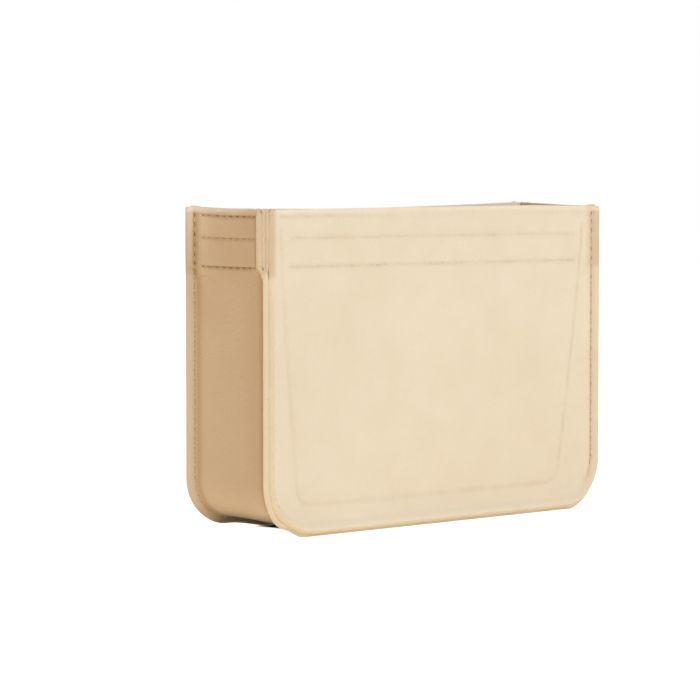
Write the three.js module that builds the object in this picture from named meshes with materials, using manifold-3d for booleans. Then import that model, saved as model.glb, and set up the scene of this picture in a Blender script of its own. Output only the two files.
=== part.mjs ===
// A felt organizer that stands inside a purse: an open box of thick felt with two long
// walls, one strip that makes both short walls and the bottom, a doubled band round the
// top, a pocket on the inside of the front wall and a pair of pockets on the back wall.
// Millimetres, +Z up, +X to the right, the front faces -Y. The origin is the middle of
// the footprint, on the surface that the box stands on.

import * as THREE from "three";
import { mergeVertices } from "three/addons/utils/BufferGeometryUtils.js";
import Module from "manifold-3d";

const wasm = await Module();
wasm.setup();

// Felt and thread
const felt = 2.5; // one layer
const layerGap = 0.3; // between two layers that lie together
const threadDiameter = 0.5;
const threadStandoff = 0.15; // between a strand and the felt it lies on
const needleClearance = 0.3; // round the thread in its needle holes

// The box, over the outer faces of its walls
const height = 148;
const width = 222;
const depth = 49.2;
const cornerRadius = 21.5; // the two lower corners, on the gusset's outer face
const frontBow = 1; // how far a long wall's top edge sinks in at its middle
const backBow = 4.7;
const footFlat = 0.5; // worn flat on the seams that the box stands on

// The seams, whose cut edges stand out at the corners
const seamWidth = 5.66; // from the fold to the cut edges
const seamStitchInset = 4; // from the cut edges to the stitches

// The band that doubles the walls round the top
const upperRowDrop = 3.3; // each row of stitches, below the top edge
const middleRowDrop = 13.3;
const lowerRowDrop = 26.3;
const bandMargin = 2.2; // felt below the lower row
const bandSqueezed = 1.2; // the band's thickness where a seam holds it
const bandFade = 5; // the length in which a seam thins out below the band
const upperRowInset = 8; // a row's ends, from the outer face of the short wall
const lowerRowInset = 14;
const sideRowInset = 8.6; // the same on the short walls, from the long wall's outer face

// The pocket on the front wall
const frontMouthDrop = 7; // its mouth, below the top edge
const frontPocketRise = 10.8; // its lower edge, above the surface the box stands on
const frontPocketBulge = 5.8; // how far its mouth stands off the band
const frontRampLength = 10; // the length in which its sides climb onto the band
const frontPocketShift = 4.2; // how far its lower end lies to the left

// The pair of pockets on the back wall
const backMouthDrop = 32;
const backPocketRise = 10.8;
const backPocketBulge = 7; // how far its mouth stands off the wall

// Both pockets
const pocketSideGap = 1.2; // from the band on the short walls
const pocketTaper = 14.8; // how much narrower each half is at the bottom
const pocketCornerRadius = 11;
const pocketStitchInset = 2.5; // from the pocket's edge to its stitches
const centreSeamGap = 1.5; // between the centre seam's thread and the bottom row

// How each pocket's mouth stands open: share of its half width, share of its opening
const frontMouthShares = [
  [-1, 0],
  [-0.97, 0],
  [-0.82, 0.06],
  [-0.64, 0.24],
  [-0.48, 0.53],
  [-0.25, 0.73],
  [0, 0.85],
  [0.2, 0.95],
  [0.38, 1],
  [0.58, 0.93],
  [0.73, 0.55],
  [0.85, 0.12],
  [0.97, 0],
  [1, 0],
];
const backMouthShares = [
  [-1, 0],
  [-0.97, 0],
  [-0.84, 0.12],
  [-0.7, 0.5],
  [-0.55, 0.9],
  [-0.4, 1],
  [-0.25, 0.88],
  [-0.12, 0.42],
  [-0.02, 0],
  [0.02, 0],
  [0.12, 0.42],
  [0.25, 0.85],
  [0.38, 0.96],
  [0.55, 0.86],
  [0.7, 0.5],
  [0.84, 0.12],
  [0.97, 0],
  [1, 0],
];

// Fineness of the faceted surfaces
const cornerSteps = 6;
const bottomSteps = 5;
const bowSteps = 10;
const threadSides = 5;
const holeSides = 6;
const sideHeightShares = [0.75, 0.5, 0.25]; // stations between the corner and the band
const ringShares = [0, 0.3, 0.6, 0.85, 1]; // rings of a long wall, from its top to its fold
const hubShare = 0.55; // how far along the top edge a long wall's rings spread
const bowFallPower = 1; // how a long wall's bow dies away towards the bottom
const swingPower = 0.8; // how a pocket's opening dies away towards its bottom
const pocketHeightShares = [0.3, 0.55, 0.8];

// Places that follow from the sizes above
const FRONT = -1;
const BACK = 1;
const OUTSIDE = 0;
const INSIDE = 1;
const diagonal = Math.SQRT2;
const seamReach = seamWidth - felt - layerGap / 2;
const floorHeight = seamWidth / diagonal - footFlat; // the gusset's lower face
const bandBottom = height - lowerRowDrop - bandMargin;
const doubled = 2 * felt + layerGap; // wall and band together
const strandLift = threadStandoff + threadDiameter / 2;
const threadRoom = threadStandoff + threadDiameter + layerGap;
const rowDrops = { upper: upperRowDrop, middle: middleRowDrop, lower: lowerRowDrop };

const { clamp, lerp } = THREE.MathUtils;

// Solids from points

// A closed geometry from triangles of points: shared points are merged, faces that have
// shrunk to a line are dropped, and the rest are turned to face out.
function closedGeometry(triangles) {
  const loose = new THREE.BufferGeometry().setFromPoints(triangles.flat());
  const merged = mergeVertices(loose, 1e-4);
  const index = merged.index.array;
  const kept = [];
  for (let i = 0; i < index.length; i += 3) {
    const [a, b, c] = [index[i], index[i + 1], index[i + 2]];
    if (a !== b && b !== c && a !== c) kept.push(a, b, c);
  }
  merged.setIndex(kept);
  if (signedVolume(merged) < 0) merged.setIndex(kept.reverse());
  return merged;
}

function signedVolume(geometry) {
  const place = geometry.getAttribute("position");
  const index = geometry.index.array;
  const [a, b, c] = [new THREE.Vector3(), new THREE.Vector3(), new THREE.Vector3()];
  let sum = 0;
  for (let i = 0; i < index.length; i += 3) {
    a.fromBufferAttribute(place, index[i]);
    b.fromBufferAttribute(place, index[i + 1]);
    c.fromBufferAttribute(place, index[i + 2]);
    sum += a.dot(b.cross(c)) / 6;
  }
  return sum;
}

// A piece of felt: an outer and an inner face, each of columns by rows points, joined
// along the cut edges. place(column, row, face) gives each point.
function feltGeometry(columns, rows, place) {
  const triangles = [];
  const quad = (a, b, c, d) => triangles.push([a, b, c], [a, c, d]);
  for (let c = 0; c + 1 < columns; c++) {
    for (let r = 0; r + 1 < rows; r++) {
      const at = (face) => [place(c, r, face), place(c + 1, r, face),
        place(c + 1, r + 1, face), place(c, r + 1, face)];
      quad(...at(OUTSIDE));
      quad(...at(INSIDE).reverse());
    }
  }
  const edge = (c0, r0, c1, r1) => quad(place(c1, r1, OUTSIDE), place(c0, r0, OUTSIDE),
    place(c0, r0, INSIDE), place(c1, r1, INSIDE));
  for (let c = 0; c + 1 < columns; c++) {
    edge(c, 0, c + 1, 0);
    edge(c + 1, rows - 1, c, rows - 1);
  }
  for (let r = 0; r + 1 < rows; r++) {
    edge(columns - 1, r, columns - 1, r + 1);
    edge(0, r + 1, 0, r);
  }
  return closedGeometry(triangles);
}

// A thread that closes on itself. Each knot has its place and the direction that is
// square to the plane in which the thread turns there.
function threadGeometry(knots) {
  const count = knots.length;
  const rings = knots.map(({ place, across }, i) => {
    const before = knots[(i + count - 1) % count].place;
    const after = knots[(i + 1) % count].place;
    const arriving = new THREE.Vector3().subVectors(place, before).normalize();
    const leaving = new THREE.Vector3().subVectors(after, place).normalize();
    const along = new THREE.Vector3().addVectors(arriving, leaving).normalize();
    const sideways = new THREE.Vector3().crossVectors(along, across).normalize();
    const mitre = threadDiameter / 2 / along.dot(leaving);
    const ring = [];
    for (let s = 0; s < threadSides; s++) {
      const angle = (2 * Math.PI * s) / threadSides;
      ring.push(place.clone()
        .addScaledVector(across, (Math.cos(angle) * threadDiameter) / 2)
        .addScaledVector(sideways, Math.sin(angle) * mitre));
    }
    return ring;
  });
  const triangles = [];
  rings.forEach((ring, i) => {
    const next = rings[(i + 1) % count];
    for (let s = 0; s < threadSides; s++) {
      const t = (s + 1) % threadSides;
      triangles.push([ring[s], ring[t], next[t]], [ring[s], next[t], next[s]]);
    }
  });
  return closedGeometry(triangles);
}

// A row of stitches: one strand on each side of the felt, joined through a needle hole
// at each end of the row.
const needleHoles = [];
function stitchRow(outer, inner) {
  const last = outer.length - 1;
  needleHoles.push([outer[0].place, inner[0].place], [outer[last].place, inner[last].place]);
  return threadGeometry([...outer, ...inner.slice().reverse()]);
}

// Cutting

function solidOf(geometry) {
  return new wasm.Manifold(new wasm.Mesh({
    numProp: 3,
    vertProperties: geometry.getAttribute("position").array,
    triVerts: new Uint32Array(geometry.index.array),
  }));
}

function geometryOf(solid) {
  const mesh = solid.getMesh();
  return new THREE.BufferGeometry()
    .setAttribute("position", new THREE.BufferAttribute(mesh.vertProperties, 3))
    .setIndex(new THREE.BufferAttribute(mesh.triVerts, 1));
}

function bareSolid(geometry) {
  geometry.deleteAttribute("normal");
  geometry.deleteAttribute("uv");
  return solidOf(mergeVertices(geometry));
}

function needleHoleSolid([from, to]) {
  const radius = threadDiameter / 2 + needleClearance;
  const along = new THREE.Vector3().subVectors(to, from);
  const hole = new THREE.CylinderGeometry(radius, radius, along.length(), holeSides);
  const turn = new THREE.Quaternion().setFromUnitVectors(
    new THREE.Vector3(0, 1, 0), along.clone().normalize());
  hole.applyQuaternion(turn);
  const middle = new THREE.Vector3().addVectors(from, to).divideScalar(2);
  return bareSolid(hole.translate(...middle.toArray()));
}

// The felt with every needle hole that meets it.
function pierced(geometry) {
  return geometryOf(needleHoles.reduce(
    (solid, ends) => solid.subtract(needleHoleSolid(ends)), solidOf(geometry)));
}

// The gusset with its lowest edges cut level, where the box stands.
function cutLevel(geometry) {
  const slab = new THREE.BoxGeometry(width, 2 * depth, footFlat);
  return geometryOf(solidOf(geometry).subtract(bareSolid(slab.translate(0, 0, -footFlat / 2))));
}

// Layout

// The U that the gusset follows: down the left, along the bottom and up the right. Each
// station is on the gusset's outer face, with the direction out of the box.
function gussetStations(top = height) {
  const side = width / 2;
  const cornerTop = floorHeight + cornerRadius;
  const fadeEnd = bandBottom - bandFade;
  const half = [top, bandBottom, fadeEnd,
    ...sideHeightShares.map((share) => lerp(cornerTop, fadeEnd, share))]
    .map((z) => ({ x: -side, z, nx: -1, nz: 0 }));
  for (let k = 0; k <= cornerSteps; k++) {
    const angle = Math.PI * (1 + k / cornerSteps / 2);
    const [nx, nz] = [Math.cos(angle), Math.sin(angle)];
    half.push({
      x: cornerRadius - side + cornerRadius * nx,
      z: cornerTop + cornerRadius * nz,
      nx,
      nz,
    });
  }
  const bottom = [];
  for (let k = 1; k < bottomSteps; k++) {
    const x = lerp(cornerRadius - side, side - cornerRadius, k / bottomSteps);
    bottom.push({ x, z: floorHeight, nx: 0, nz: -1 });
  }
  const mirrored = half.map((s) => ({ ...s, x: -s.x, nx: -s.nx })).reverse();
  return [...half, ...bottom, ...mirrored];
}

// A long wall's face, sunk below its outer face.
function wallY(side, x, z, sunk) {
  const span = width / 2 - doubled - layerGap;
  const across = clamp(1 - (x / span) ** 2, 0, 1);
  const up = clamp((z - floorHeight) / (height - floorHeight), 0, 1) ** bowFallPower;
  const bow = side === FRONT ? frontBow : backBow;
  return side * (depth / 2 - sunk - bow * across * up);
}

// How far the outer layers lie from the middle of a seam: the band between them pushes
// them apart, and they close again below it.
function seamOffset(z) {
  const share = clamp((z - bandBottom + bandFade) / bandFade, 0, 1);
  return layerGap / 2 + (layerGap + bandSqueezed) * share;
}

// Where a layer's face turns out into a seam, and where it is cut off. "out" is measured
// out of the layer's own wall, and "over" out of the wall that it is sewn to.
const foldAt = (sunk, offset) => ({ out: -sunk, over: -sunk - offset * diagonal });
const edgeAt = (offset) => ({
  out: (seamReach + offset) / diagonal,
  over: (seamReach - offset) / diagonal,
});

// The point of a gusset layer or of a long wall's layer, at a station of the U.
const onGusset = (s, side, { out, over }) =>
  new THREE.Vector3(s.x + s.nx * out, side * (depth / 2 + over), s.z + s.nz * out);
const onWall = (s, side, { out, over }) =>
  new THREE.Vector3(s.x + s.nx * over, side * (depth / 2 + out), s.z + s.nz * over);

// The shell

function longWall(side) {
  const stations = gussetStations();
  return feltGeometry(stations.length, ringShares.length + 1, (column, row, face) => {
    const station = stations[column];
    const sunk = face === INSIDE ? felt : 0;
    const offset = seamOffset(station.z) + felt - sunk;
    if (row === ringShares.length) return onWall(station, side, edgeAt(offset));
    const fold = onWall(station, side, foldAt(sunk, offset));
    const hub = new THREE.Vector3(hubShare * fold.x, fold.y, height);
    const point = hub.lerp(fold, ringShares[row]);
    return point.setY(wallY(side, point.x, point.z, sunk));
  });
}

function gusset() {
  const stations = gussetStations();
  return feltGeometry(stations.length, 4, (column, row, face) => {
    const station = stations[column];
    const side = row < 2 ? FRONT : BACK;
    const sunk = face === INSIDE ? felt : 0;
    const offset = seamOffset(station.z) + felt - sunk;
    const isEdge = row === 0 || row === 3;
    return onGusset(station, side, isEdge ? edgeAt(offset) : foldAt(sunk, offset));
  });
}

// The band

function bandFaces(face) {
  const sunk = face === INSIDE ? doubled : felt + layerGap;
  const offset = layerGap / 2 + (face === INSIDE ? 0 : bandSqueezed);
  return { fold: foldAt(sunk, offset), edge: edgeAt(offset), sunk };
}

function longBand(side) {
  const last = bowSteps + 2;
  return feltGeometry(last + 1, 2, (column, row, face) => {
    const { fold, edge, sunk } = bandFaces(face);
    const z = row ? height : bandBottom;
    const station = { x: column * 2 > last ? width / 2 : -width / 2, z,
      nx: column * 2 > last ? 1 : -1, nz: 0 };
    if (column === 0 || column === last) return onWall(station, side, edge);
    const end = width / 2 + fold.over;
    const x = lerp(-end, end, (column - 1) / bowSteps);
    return new THREE.Vector3(x, wallY(side, x, z, sunk), z);
  });
}

function shortBand(end) {
  return feltGeometry(4, 2, (column, row, face) => {
    const { fold, edge } = bandFaces(face);
    const station = { x: (end * width) / 2, z: row ? height : bandBottom, nx: end, nz: 0 };
    const isEdge = column === 0 || column === 3;
    return onGusset(station, column < 2 ? FRONT : BACK, isEdge ? edge : fold);
  });
}

// The pockets

const frontPocket = {
  side: FRONT,
  mouth: height - frontMouthDrop,
  bottom: frontPocketRise,
  bulge: frontPocketBulge,
  shift: frontPocketShift,
  mouthShares: frontMouthShares,
};
const backPocket = {
  side: BACK,
  mouth: height - backMouthDrop,
  bottom: backPocketRise,
  bulge: backPocketBulge,
  shift: 0,
  mouthShares: backMouthShares,
};

// How far down a height lies on the front pocket, which gives both pockets their slant.
function slant(z) {
  const top = height - frontMouthDrop;
  return (top - z) / (top - frontPocketRise);
}

// Half of a pocket's width at a height, without its rounded corners, and its middle.
const slantedHalf = (z) => width / 2 - doubled - pocketSideGap - pocketTaper * slant(z);
const slantedMiddle = (pocket, z) => -pocket.shift * slant(z);

// How far a pocket's face towards the wall is sunk below the wall's outer face, where the
// pocket lies flat. One that reaches the band climbs onto it.
const flatSeat = felt + layerGap;
function pocketSeat(pocket, z) {
  if (pocket.mouth <= bandBottom) return flatSeat;
  const share = clamp((z - bandBottom + frontRampLength) / frontRampLength, 0, 1);
  return lerp(flatSeat, doubled + threadRoom, share);
}

function pocketRows(pocket) {
  const { bottom, mouth } = pocket;
  const rows = [];
  for (let k = 0; k <= cornerSteps; k += 2) {
    const angle = (Math.PI * k) / cornerSteps / 2;
    const inset = pocketCornerRadius * (1 - Math.sin(angle));
    rows.push({ z: bottom + pocketCornerRadius * (1 - Math.cos(angle)), inset });
  }
  const cornerTop = bottom + pocketCornerRadius;
  const climbs = mouth > bandBottom;
  const straightTop = climbs ? bandBottom - frontRampLength : mouth;
  for (const share of pocketHeightShares)
    rows.push({ z: lerp(cornerTop, straightTop, share), inset: 0 });
  rows.push({ z: straightTop, inset: 0 });
  if (climbs)
    rows.push({ z: bandBottom, inset: 0 }, { z: mouth, inset: 0 });
  return rows;
}

// The same where the pocket stands open: it swings out from its lower stitches.
function openSeat(pocket, z) {
  const low = pocket.bottom + pocketStitchInset;
  const up = clamp((z - low) / (pocket.mouth - low), 0, 1);
  const share = Math.sin((Math.PI / 2) * up) ** swingPower;
  return lerp(flatSeat, pocketSeat(pocket, pocket.mouth) + pocket.bulge, share);
}

function pocketGeometry(pocket) {
  const rows = pocketRows(pocket);
  return feltGeometry(pocket.mouthShares.length, rows.length, (column, row, face) => {
    const { z, inset } = rows[row];
    const [across, open] = pocket.mouthShares[column];
    const x = slantedMiddle(pocket, z) + across * (slantedHalf(z) - inset);
    const seat = lerp(pocketSeat(pocket, z), openSeat(pocket, z), open);
    const sunk = face === INSIDE ? seat + felt : seat;
    return new THREE.Vector3(x, wallY(pocket.side, x, z, sunk), z);
  });
}

// The stitches

const upward = new THREE.Vector3(0, 0, 1);
const rightward = new THREE.Vector3(1, 0, 0);

// A row along a long wall's band.
function longRow(side, drop, inset) {
  const reach = width / 2 - inset;
  const z = height - drop;
  const strand = (sunk) => {
    const knots = [];
    for (let k = 0; k <= bowSteps; k++) {
      const x = lerp(-reach, reach, k / bowSteps);
      knots.push({ place: new THREE.Vector3(x, wallY(side, x, z, sunk), z), across: upward });
    }
    return knots;
  };
  return stitchRow(strand(-strandLift), strand(doubled + strandLift));
}

// A row along a short wall's band.
function shortRow(end, drop) {
  const reach = depth / 2 - sideRowInset;
  const strand = (sunk) => [-reach, reach].map((y) => ({
    place: new THREE.Vector3(end * (width / 2 - sunk), y, height - drop),
    across: upward,
  }));
  return stitchRow(strand(-strandLift), strand(doubled + strandLift));
}

// The row that joins a long wall to the gusset, right round the U.
function seamRow(side) {
  const along = seamReach - seamStitchInset;
  const strand = (sheet) => gussetStations(height - upperRowDrop).map((s) => {
    const offset = seamOffset(s.z) + felt + strandLift;
    const place = sheet(s, side, {
      out: (along + offset) / diagonal,
      over: (along - offset) / diagonal,
    });
    return { place, across: new THREE.Vector3(s.nx, side, s.nz).normalize() };
  });
  return stitchRow(strand(onWall), strand(onGusset));
}

// A strand's knot on a long wall's outer face, or on a pocket's inner face, so far from the
// pocket's middle.
function pocketKnot(pocket, aside, z, face, across) {
  const x = slantedMiddle(pocket, z) + aside;
  const sunk = face === OUTSIDE ? -strandLift : pocketSeat(pocket, z) + felt + strandLift;
  return { place: new THREE.Vector3(x, wallY(pocket.side, x, z, sunk), z), across };
}

// The row round a pocket's sides and bottom.
function pocketRow(pocket) {
  const radius = pocketCornerRadius - pocketStitchInset;
  const cornerTop = pocket.bottom + pocketCornerRadius;
  const half = pocketRows(pocket).slice(cornerSteps / 2).reverse()
    .map(({ z }) => ({ z, x: pocketStitchInset - slantedHalf(z), nx: -1, nz: 0 }));
  half[0].z -= pocketStitchInset;
  for (let k = 1; k <= cornerSteps / 2; k++) {
    const angle = Math.PI * (1 + k / cornerSteps);
    const [nx, nz] = [Math.cos(angle), Math.sin(angle)];
    const z = cornerTop + radius * nz;
    half.push({ x: pocketCornerRadius - slantedHalf(z) + radius * nx, z, nx, nz });
  }
  const low = half.at(-1);
  const bottom = [];
  for (let k = 1; k < bowSteps; k++)
    bottom.push({ ...low, x: lerp(low.x, -low.x, k / bowSteps) });
  const mirrored = half.map((s) => ({ ...s, x: -s.x, nx: -s.nx })).reverse();
  const strand = (face) => [...half, ...bottom, ...mirrored].map(({ x, z, nx, nz }) =>
    pocketKnot(pocket, x, z, face, new THREE.Vector3(nx, 0, nz)));
  return stitchRow(strand(OUTSIDE), strand(INSIDE));
}

// The row that parts the back pockets.
function centreRow(pocket) {
  const low = pocket.bottom + pocketStitchInset + threadDiameter + centreSeamGap;
  const top = pocket.mouth - pocketStitchInset;
  const strand = (face) => {
    const knots = [];
    for (let k = 0; k <= bowSteps; k++)
      knots.push(pocketKnot(pocket, 0, lerp(top, low, k / bowSteps), face, rightward));
    return knots;
  };
  return stitchRow(strand(OUTSIDE), strand(INSIDE));
}

// The object

const feltFinish = { color: 0xead9bb, roughness: 0.95, metalness: 0 };
const threadFinish = { color: 0xc4a57a, roughness: 0.8, metalness: 0 };

function addPiece(group, name, geometry, finish) {
  const mesh = new THREE.Mesh(geometry, new THREE.MeshStandardMaterial(finish));
  mesh.geometry.computeVertexNormals();
  mesh.name = name;
  group.add(mesh);
}

const organizer = new THREE.Group();
const shell = new THREE.Group();
const band = new THREE.Group();
const pockets = new THREE.Group();
const stitches = new THREE.Group();
organizer.add(shell, band, pockets, stitches);

// Every row is laid out first, because the felt is pierced where their threads pass.
const longWalls = [["front", FRONT], ["back", BACK]];
const shortWalls = [["left", -1], ["right", 1]];
for (const [row, drop] of Object.entries(rowDrops)) {
  const inset = row === "upper" ? upperRowInset : lowerRowInset;
  for (const [name, side] of longWalls)
    addPiece(stitches, `${name}_band_thread_${row}`, longRow(side, drop, inset), threadFinish);
  for (const [name, end] of shortWalls)
    addPiece(stitches, `${name}_band_thread_${row}`, shortRow(end, drop), threadFinish);
}
for (const [name, side] of longWalls)
  addPiece(stitches, `${name}_seam_thread`, seamRow(side), threadFinish);
addPiece(stitches, "front_pocket_thread", pocketRow(frontPocket), threadFinish);
addPiece(stitches, "back_pocket_thread", pocketRow(backPocket), threadFinish);
addPiece(stitches, "back_pocket_centre_thread", centreRow(backPocket), threadFinish);

for (const [name, side] of longWalls) {
  addPiece(shell, `${name}_panel`, pierced(longWall(side)), feltFinish);
  addPiece(band, `${name}_band`, pierced(longBand(side)), feltFinish);
}
addPiece(shell, "gusset_strip", cutLevel(pierced(gusset())), feltFinish);
for (const [name, end] of shortWalls)
  addPiece(band, `${name}_band`, pierced(shortBand(end)), feltFinish);
addPiece(pockets, "front_pocket", pierced(pocketGeometry(frontPocket)), feltFinish);
addPiece(pockets, "back_pocket", pierced(pocketGeometry(backPocket)), feltFinish);

export default organizer;
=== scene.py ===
"""A felt organizer that stands inside a purse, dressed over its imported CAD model."""

import math

import bmesh
import bpy
from bpy.props import FloatProperty, FloatVectorProperty, PointerProperty
from mathutils import Matrix, Vector, kdtree, noise


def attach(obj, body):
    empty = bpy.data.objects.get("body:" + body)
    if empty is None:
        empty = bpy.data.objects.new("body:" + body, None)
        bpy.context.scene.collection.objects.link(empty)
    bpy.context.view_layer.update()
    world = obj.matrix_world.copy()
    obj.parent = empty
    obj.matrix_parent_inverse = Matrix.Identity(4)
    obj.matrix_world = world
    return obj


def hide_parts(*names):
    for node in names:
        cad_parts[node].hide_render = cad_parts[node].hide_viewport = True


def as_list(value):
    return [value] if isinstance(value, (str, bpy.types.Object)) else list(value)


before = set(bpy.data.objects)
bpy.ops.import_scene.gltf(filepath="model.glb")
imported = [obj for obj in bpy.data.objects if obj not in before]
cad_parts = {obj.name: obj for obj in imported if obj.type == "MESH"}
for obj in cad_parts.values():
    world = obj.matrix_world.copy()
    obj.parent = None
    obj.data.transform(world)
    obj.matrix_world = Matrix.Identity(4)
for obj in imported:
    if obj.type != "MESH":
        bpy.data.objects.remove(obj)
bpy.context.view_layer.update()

bl_info = {
    "name": "Purse Organizer Insert",
    "version": (1, 0, 0),
    "blender": (4, 5, 0),
    "location": "View3D > Sidebar > Organizer",
    "description": "Felt walls, band, pockets and stitches of a purse organizer",
    "category": "Object",
}

FRONT, BACK = -1, 1
SIDES = {"front": FRONT, "back": BACK}
ENDS = {"left": -1, "right": 1}
WALLS = (*SIDES, *ENDS)
ROWS = ("upper", "middle", "lower")
DIAGONAL = math.sqrt(2)
PLANS, MATERIALS = {}, {}

# How fine the sheets are: points across, rows in the height of a rounded corner, other steps
PANEL_COLUMNS, POCKET_COLUMNS, GUSSET_ROWS = 210, 200, 36
BAND_COLUMNS = {True: 190, False: 34}  # on a long wall, on a short wall
PANEL_TURNS, POCKET_TURNS = 16, 10
ROW_STEP, GUSSET_STEP, POCKET_STEP = 0.00125, 0.0014, 0.00135
SEAM_STEP, SIDE_STEP = 0.002, 0.003  # along a corner seam's row, down a pocket's side
TOP_REACH = 0.0015  # a seam's upper end starts from the points this close to the top edge

# How a pocket's mouth stands open: share of its half width, share of its opening
FRONT_MOUTH = (
    (-1, 0), (-0.97, 0), (-0.82, 0.06), (-0.64, 0.24), (-0.48, 0.53), (-0.25, 0.73), (0, 0.85),
    (0.2, 0.95), (0.38, 1), (0.58, 0.93), (0.73, 0.55), (0.85, 0.12), (0.97, 0), (1, 0),
)
BACK_MOUTH = (
    (-1, 0), (-0.97, 0), (-0.84, 0.12), (-0.7, 0.5), (-0.55, 0.9), (-0.4, 1), (-0.25, 0.88),
    (-0.12, 0.42), (-0.02, 0), (0.02, 0), (0.12, 0.42), (0.25, 0.85), (0.38, 0.96), (0.55, 0.86),
    (0.7, 0.5), (0.84, 0.12), (0.97, 0), (1, 0),
)

# Where the top edge has eased up or down: shares of the half sizes, rise, reach
EASED = ((-1, 1, 0.0009, 0.012), (1, 1, 0.0005, 0.03), (1, -1, -0.0008, 0.03))
EASED_FROM, SAG_FROM = 0.11, 0.06  # heights where that and the back wall's sag begin

# Where the lower left corners have settled: from the middle outwards, and up from the floor
CURL_START, CURL_SPAN, CURL_HEIGHT = 0.058, 0.03, 0.03
TUCK_START, TUCK_SPAN, TUCK_HEIGHT = 0.086, 0.014, 0.02
TUCK_END, TUCK_FADE = 0.109, 0.009

# How much loose fibre and painted highlight the felt takes near its edges, how much painted shade
# lies in its creases and soil on its ears, and how wide that crease shade is
FRAY_AND_HIGHLIGHT = {"long": 0.22, "short": 0.85, "low": 0.3}
CREASE_SHADE_AND_SOIL = {"ear": 0.3, "panel": 0.28, "gusset": 0.5, "band": 0.9}
CREASE_SHADE_WIDTH = {"panel": 0.0012, "outside": 0.0008, "gusset": 0.0022, "band": 0.0019}

# From the fold to where an ear is soiled, from the floor to where its cut edges take loose fibre and
# a painted highlight, and from the band's lower edge to where the seam under it is filled: each reach
# with its fade
EAR_REACH, EAR_FADE = 0.004, 0.002
LOW_REACH, LOW_FADE = 0.0025, 0.004
FILL_REACH, FILL_FADE = 0.0008, 0.0004

EDGE_ROUND = 0.0002  # how softly a cut edge is rounded

# How far a row of stitches works on the felt, in its groove and its painted shade: at all, a needle
# hole, and a loose or a tight line
SEWN_REACH, HOLE_REACH, LINE_REACH = 0.004, 0.0008, (0.0014, 0.0009)

# How tight the rows on the front wall's face are drawn, which also sets their painted shade: on the
# left, on the right, and the places across the wall between which that changes
FRONT_TIGHT = {
    "pocket_thread": (0.28, 0.4, -0.08, 0.08),
    "band_thread_upper": (0.38, 0.1, -0.1, 0),
    "band_thread_middle": (0.32, 0.32, -0.1, 0),
    "band_thread_lower": (0.4, 0.4, -0.1, 0),
}
FRONT_UNEVEN = 0.9
SEAM_TIGHT, SEAM_FADE = 0.008, 0.014  # the front seam's stitches show from this height up
MIDDLE_TIGHT = 0.65  # the middle rows everywhere else

# A stitch: its lean, how much its lean, width and length vary, how deep it lies in the groove
# and how much less when it is drawn tight, and how far its ends dip in thicknesses of thread
LEAN, LEAN_VARIES, WIDTH_VARIES, LENGTH_VARIES = 0.14, 0.05, 0.12, 0.06
DEPTH, DEPTH_TIGHT, END_DIP = 0.75, 0.2, 0.55

# How much wider and less tall than the box a long wall's sheet is with its seam edges laid flat
PANEL_GAIN, PANEL_LOSS = 0.0038, 0.0016

# Where the floor under the box has a painted shadow: distances from the middle between which that
# ends, for what the camera sees, whose patch lies a little back, and for the painted shade in the
# light that the floor gives
PAINTED_SHADOW_X, PAINTED_SHADOW_Y, PAINTED_SHADOW_SHIFT = (0.067, 0.071), (0.0245, 0.0265), 0.0019
PAINTED_SHADE_X, PAINTED_SHADE_Y = (0.096, 0.103), (0.0225, 0.0265)
FLOOR_REACH, FLOOR_DROP = 3, 0.00005  # how far it goes each way, how far below the box
LAMP_TARGET = Vector((0, 0, 0.07))


# Settings

def number(**traits):
    """A maker of settings that share these traits."""
    def setting(name, description, default):
        return FloatProperty(name=name, description=description, default=default, **traits)
    return setting


length = number(unit="LENGTH", precision=5)
fraction = number(subtype="FACTOR", min=0, max=1)
angle_of = number(subtype="ANGLE")
watts = number(unit="POWER", min=0)
amount = number(min=0)


def colour(name, description, default):
    return FloatVectorProperty(name=name, description=description, default=default,
                               subtype="COLOR", size=3, min=0, max=1)


class WallSettings(bpy.types.PropertyGroup):
    """Sizes of the box and of its corner seams"""
    felt: length("Felt", "Thickness of one layer", 0.0025)
    gap: length("Layer gap", "Space between two layers that lie together", 0.00006)
    height: length("Height", "From the floor to the top edge", 0.148)
    width: length("Width", "Over the outer faces of the short walls", 0.222)
    depth: length("Depth", "Over the outer faces of the long walls", 0.0492)
    corner: length("Corner radius", "Of the two lower corners", 0.0215)
    front_bow: length("Front bow", "How far the front wall's top sinks in", 0.001)
    back_bow: length("Back bow", "How far the back wall's top sinks in", 0.0047)
    back_sag: length("Back sag", "How far the back wall's top edge hangs down", 0.0011)
    foot: length("Foot", "Height worn off the seams that the box stands on", 0.0005)
    seam: length("Seam", "From the fold of a seam to its cut edges", 0.00566)
    fold: length("Fold radius", "How softly the felt turns into a seam", 0.0019)
    crease: length("Crease radius", "The same where a short wall meets its seams", 0.0011)
    spread: length("Spread", "How far from a seam the band eases a short wall out", 0.006)
    slack: length("Slack", "How uneven the walls are", 0.00035)
    curl: length("Curl", "How far the lower left corner at the back curls up", 0.0034)
    tuck: length("Tuck", "How far the seam draws in at the lower left corner in front", 0.0021)
    front_lip: length("Front lip", "How far a long wall's top edge rounds over", 0.0005)
    side_lip: length("Side lip", "How far a short wall's top edge rounds over", 0.0014)
    ear: length("Ear radius", "Rounding of the seams' upper corners", 0.002)


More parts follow.
